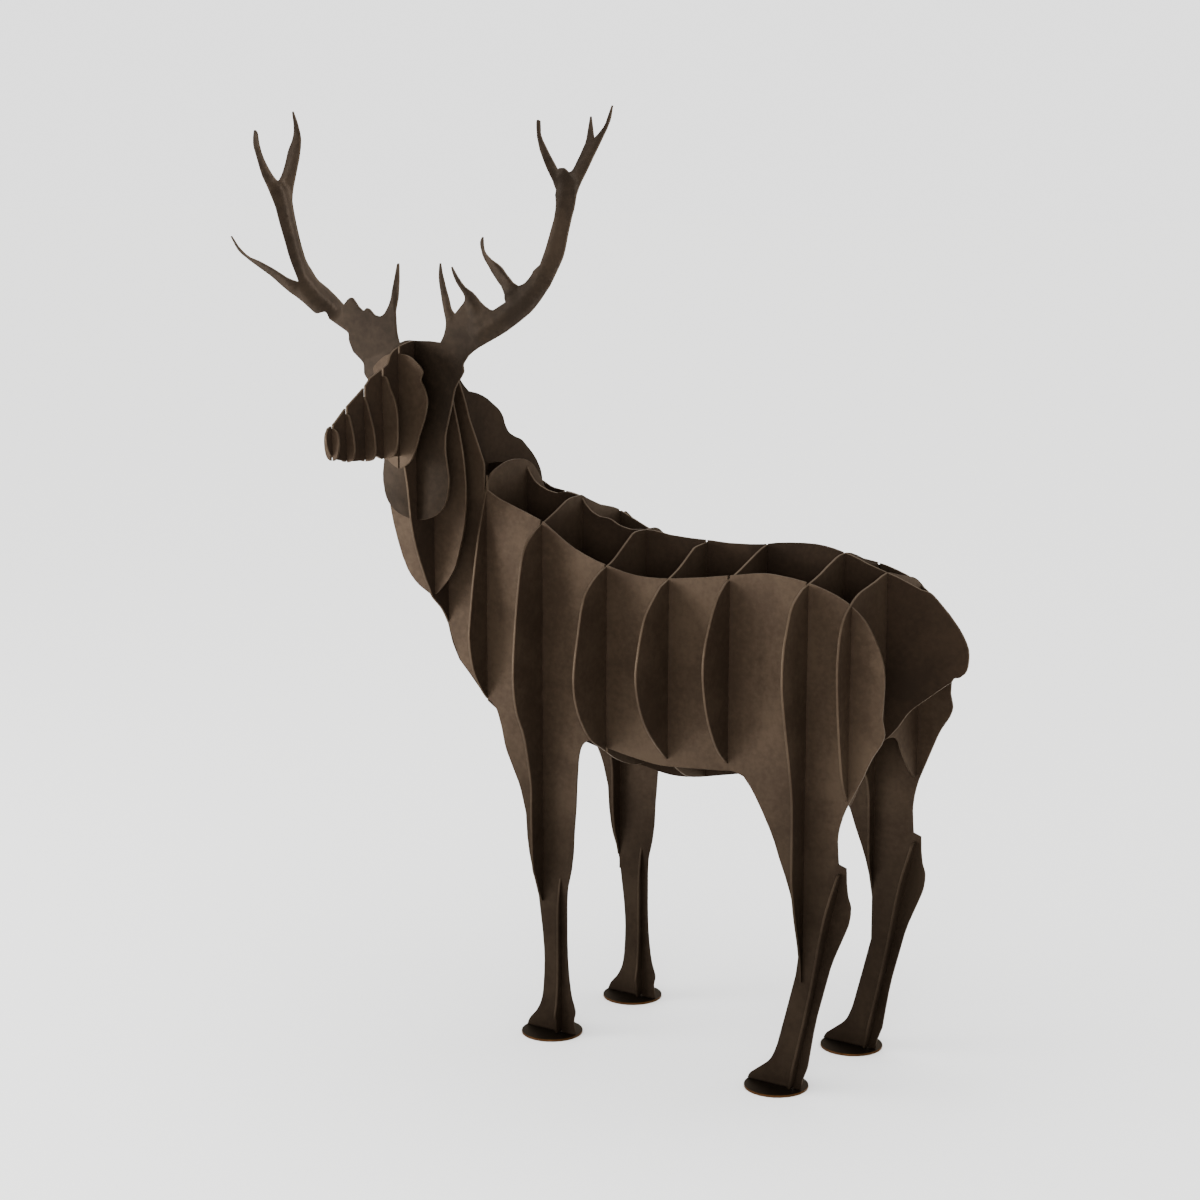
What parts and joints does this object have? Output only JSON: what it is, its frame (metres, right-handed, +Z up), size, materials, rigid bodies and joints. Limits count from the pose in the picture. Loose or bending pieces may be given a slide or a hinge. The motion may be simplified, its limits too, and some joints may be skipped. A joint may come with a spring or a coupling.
{
  "type": "steel elk sculpture",
  "caption": "Life-size standing stag with a turned head and full antlers, made of flat steel plates slotted together crosswise on round foot plates",
  "frame": {"origin": "middle of the bounding box, on the floor", "axes": "+X the way the body faces, +Y the animal's left, to which the head is turned, +Z up"},
  "size_m": [1.725, 0.828, 2.02],
  "materials": {
    "patinated_steel": "dark bronze-brown patinated steel plate, satin, with lighter worn cut edges"
  },
  "bodies": {
    "root": {"side_plate_left": "patinated_steel", "side_plate_right": "patinated_steel", "centre_plate": "patinated_steel", "head_profile": "patinated_steel", "rib_1": "patinated_steel", "rib_2": "patinated_steel", "rib_3": "patinated_steel", "rib_4": "patinated_steel", "rib_5": "patinated_steel", "rib_6": "patinated_steel", "rib_7": "patinated_steel", "antler_plate": "patinated_steel", "head_section_1": "patinated_steel", "head_section_2": "patinated_steel", "head_section_3": "patinated_steel", "head_section_4": "patinated_steel", "head_section_5": "patinated_steel", "neck_section": "patinated_steel", "front_shin_left": "patinated_steel", "rear_shin_left": "patinated_steel", "front_shin_right": "patinated_steel", "rear_shin_right": "patinated_steel", "foot_front_left": "patinated_steel", "foot_rear_left": "patinated_steel", "foot_front_right": "patinated_steel", "foot_rear_right": "patinated_steel"}
  },
  "joints": []
}
